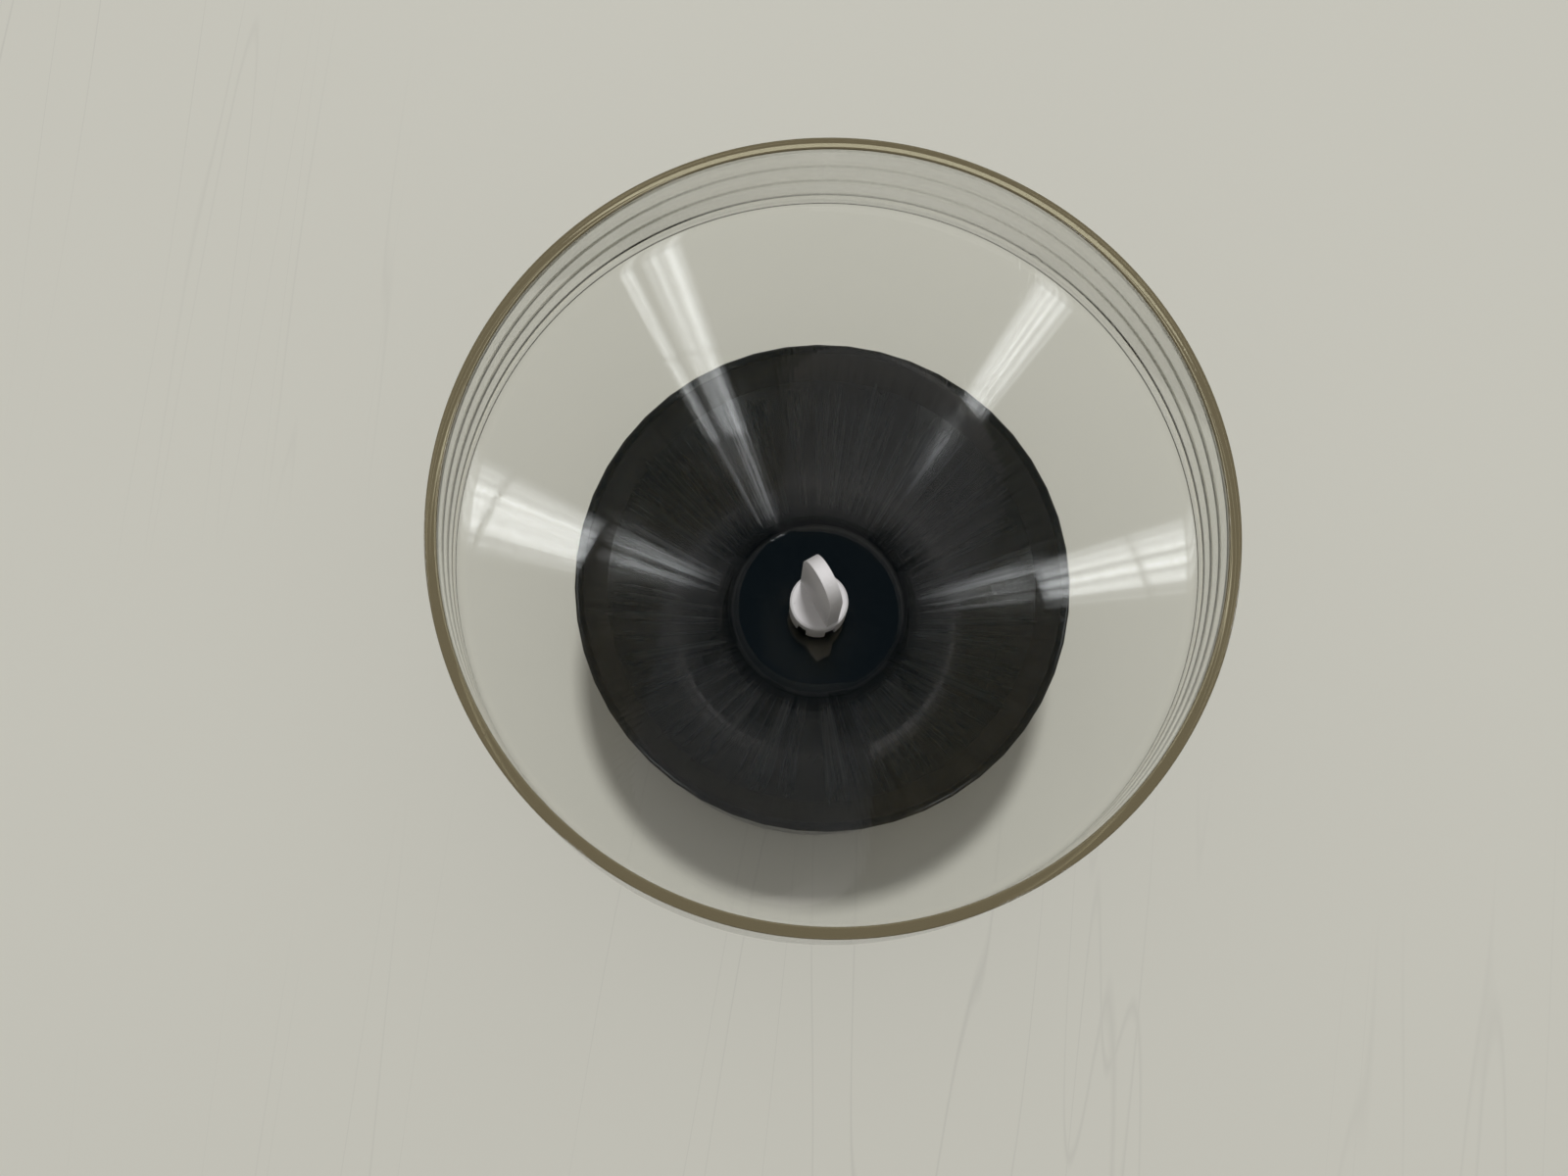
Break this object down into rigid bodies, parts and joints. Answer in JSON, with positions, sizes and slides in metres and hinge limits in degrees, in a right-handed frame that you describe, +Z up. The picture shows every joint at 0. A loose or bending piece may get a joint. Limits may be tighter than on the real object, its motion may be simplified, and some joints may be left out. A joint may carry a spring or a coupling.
{
  "type": "salad spinner",
  "caption": "Clear ribbed conical bowl nested in a round black base with a pull-cord drive, and a white drive post with a tall key standing in the bowl's middle.",
  "frame": {"origin": "on the table, under the middle of the spindle", "axes": "+Z up along the spindle towards the bowl's rim; +Y from the spindle to the pull handle in the base's wall; +X completes a right-handed frame"},
  "size_m": [0.2608, 0.2608, 0.2],
  "materials": {
    "clear_plastic": "polished",
    "black_plastic": "gloss",
    "white_plastic": "satin",
    "natural_plastic": "satin",
    "rubber": "matte",
    "steel": "brushed",
    "bronze": "satin",
    "cord": "braided"
  },
  "bodies": {
    "base": {"base_shell": "black_plastic", "seat_ring": "rubber", "base_plate": "black_plastic", "rubber_foot_1": "rubber", "rubber_foot_2": "rubber", "rubber_foot_3": "rubber", "rubber_foot_4": "rubber", "base_screw_1": "steel", "base_screw_2": "steel", "base_screw_3": "steel", "base_screw_4": "steel", "lower_bush": "bronze", "upper_bush": "bronze", "hub_seal": "rubber", "spring_barrel": "steel", "recoil_spring": "steel", "handle_dock": "black_plastic", "cord_eyelet": "steel", "pull_cord": "cord"},
    "drum": {"cord_drum": "natural_plastic", "cord_winding": "cord", "pawl_pin_1": "steel", "pawl_pin_2": "steel"},
    "pawl_a": {"pawl_1": "steel"},
    "pawl_b": {"pawl_2": "steel"},
    "shaft": {"spindle": "steel", "circlip": "steel", "thrust_washer": "natural_plastic", "ratchet_wheel": "natural_plastic"},
    "post": {"drive_post": "white_plastic"},
    "handle": {"pull_handle": "black_plastic", "cord_knot": "cord", "handle_plug": "black_plastic"},
    "clear_bowl": {"bowl": "clear_plastic", "bowl_seal": "rubber"}
  },
  "joints": [
    {"name": "handle_pull", "type": "slide", "parent": "base", "child": "handle", "axis": [0, 1, 0], "range_m": [0, 0.3], "stiffness_N_per_m": 8, "springref_m": -0.3},
    {"name": "drum_spin", "type": "hinge", "parent": "base", "child": "drum", "pos_m": [0, 0, 0.021], "axis": [0, 0, 1], "range_deg": [0, 945.5]},
    {"name": "spindle_spin", "type": "hinge", "parent": "base", "child": "shaft", "pos_m": [0, 0, 0.021], "axis": [0, 0, 1], "continuous": true},
    {"name": "pawl_1_swing", "type": "hinge", "parent": "drum", "child": "pawl_a", "pos_m": [0.0185, 0, 0.0267], "axis": [0, 0, 1], "range_deg": [0, 16]},
    {"name": "pawl_2_swing", "type": "hinge", "parent": "drum", "child": "pawl_b", "pos_m": [-0.0185, 0, 0.0267], "axis": [0, 0, 1], "range_deg": [0, 16]},
    {"name": "bowl_lift", "type": "slide", "parent": "base", "child": "clear_bowl", "axis": [0, 0, 1], "range_m": [0, 0.12]},
    {"name": "post_lift", "type": "slide", "parent": "shaft", "child": "post", "axis": [0, 0, 1], "range_m": [0, 0.12]}
  ],
  "couplings": [
    {"joint": "drum_spin", "follows": "handle_pull", "rad_per_m": 54.978},
    {"joint": "pawl_2_swing", "follows": "pawl_1_swing", "ratio": 1},
    {"joint": "post_lift", "follows": "bowl_lift", "ratio": 1}
  ]
}
